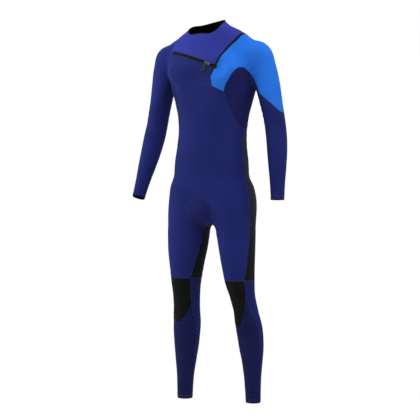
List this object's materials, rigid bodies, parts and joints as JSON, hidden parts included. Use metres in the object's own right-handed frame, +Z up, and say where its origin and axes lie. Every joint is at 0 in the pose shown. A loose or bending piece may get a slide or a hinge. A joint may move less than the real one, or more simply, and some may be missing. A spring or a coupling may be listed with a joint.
{
  "type": "full wetsuit",
  "caption": "Long-sleeved, full-length neoprene wetsuit with a slanting chest zip, an entry flap, knee pads and coloured shoulder panel, standing as if worn.",
  "frame": {"origin": "centre of the neck opening, on the plane of the collar's rim", "axes": "+Z up out of the neck opening, -Y out of the chest, +X towards the wearer's left"},
  "size_m": [0.6301, 0.2446, 1.5074],
  "materials": {
    "yoke_jersey": "matt nylon jersey over neoprene",
    "navy_jersey": "matt nylon jersey over neoprene",
    "deep_jersey": "matt nylon jersey over neoprene",
    "bright_jersey": "matt nylon jersey over neoprene",
    "charcoal_jersey": "matt nylon jersey over neoprene",
    "knee_fabric": "hard-wearing ribbed fabric over neoprene",
    "binding": "folded smooth tape",
    "zip_tape": "woven tape",
    "zip_plastic": "moulded",
    "slider_plastic": "moulded, satin",
    "tab_rubber": "moulded, matt"
  },
  "bodies": {
    "suit": {"collar": "yoke_jersey", "neck_binding": "binding", "chest_yoke": "yoke_jersey", "yoke_binding": "binding", "chest_panel": "navy_jersey", "front_panel": "navy_jersey", "crotch_gusset": "deep_jersey", "upper_back_panel": "navy_jersey", "shoulder_panel_left": "bright_jersey", "shoulder_panel_right": "navy_jersey", "sleeve_left": "navy_jersey", "sleeve_right": "navy_jersey", "side_panel_left": "deep_jersey", "side_panel_right": "deep_jersey", "rear_leg_panel_left": "charcoal_jersey", "rear_leg_panel_right": "charcoal_jersey", "knee_pad_left": "knee_fabric", "knee_pad_right": "knee_fabric", "shin_panel_left": "navy_jersey", "shin_panel_right": "navy_jersey", "calf_panel_left": "navy_jersey", "calf_panel_right": "navy_jersey", "wrist_cuff_left": "navy_jersey", "wrist_cuff_right": "navy_jersey", "ankle_cuff_left": "navy_jersey", "ankle_cuff_right": "navy_jersey", "storm_flap": "deep_jersey", "zip_tape_lower": "zip_tape", "zip_tape_upper": "zip_tape", "zip_apex_patch": "zip_tape", "zip_start_patch": "zip_tape", "zip_teeth_lower": "zip_plastic", "zip_teeth_upper": "zip_plastic"},
    "flap": {"entry_flap": "yoke_jersey", "flap_binding": "binding", "flap_zip_tape": "zip_tape", "flap_zip_teeth": "zip_plastic"},
    "slider": {"zip_slider": "slider_plastic"},
    "puller": {"puller_link": "slider_plastic"},
    "tab": {"pull_tab": "tab_rubber"}
  },
  "joints": [
    {"name": "zip_travel", "type": "hinge", "parent": "suit", "child": "slider", "pos_m": [0.01011, 0.19954, -0.23104], "axis": [-0.3326, -0.2392, -0.9122], "range_deg": [0, 32]},
    {"name": "puller_swivel", "type": "hinge", "parent": "slider", "child": "puller", "pos_m": [0.03222, -0.1085, -0.15832], "axis": [0.0904, -0.9709, 0.2217], "range_deg": [-70, 70]},
    {"name": "tab_lift", "type": "hinge", "parent": "puller", "child": "tab", "pos_m": [0.02994, -0.11332, -0.16767], "axis": [-0.9671, -0.0325, 0.2524], "range_deg": [0, 120]},
    {"name": "flap_fold", "type": "hinge", "parent": "suit", "child": "flap", "pos_m": [-0.02749, -0.09478, -0.12195], "axis": [-0.9506, -0.1996, -0.2377], "range_deg": [0, 100]}
  ]
}
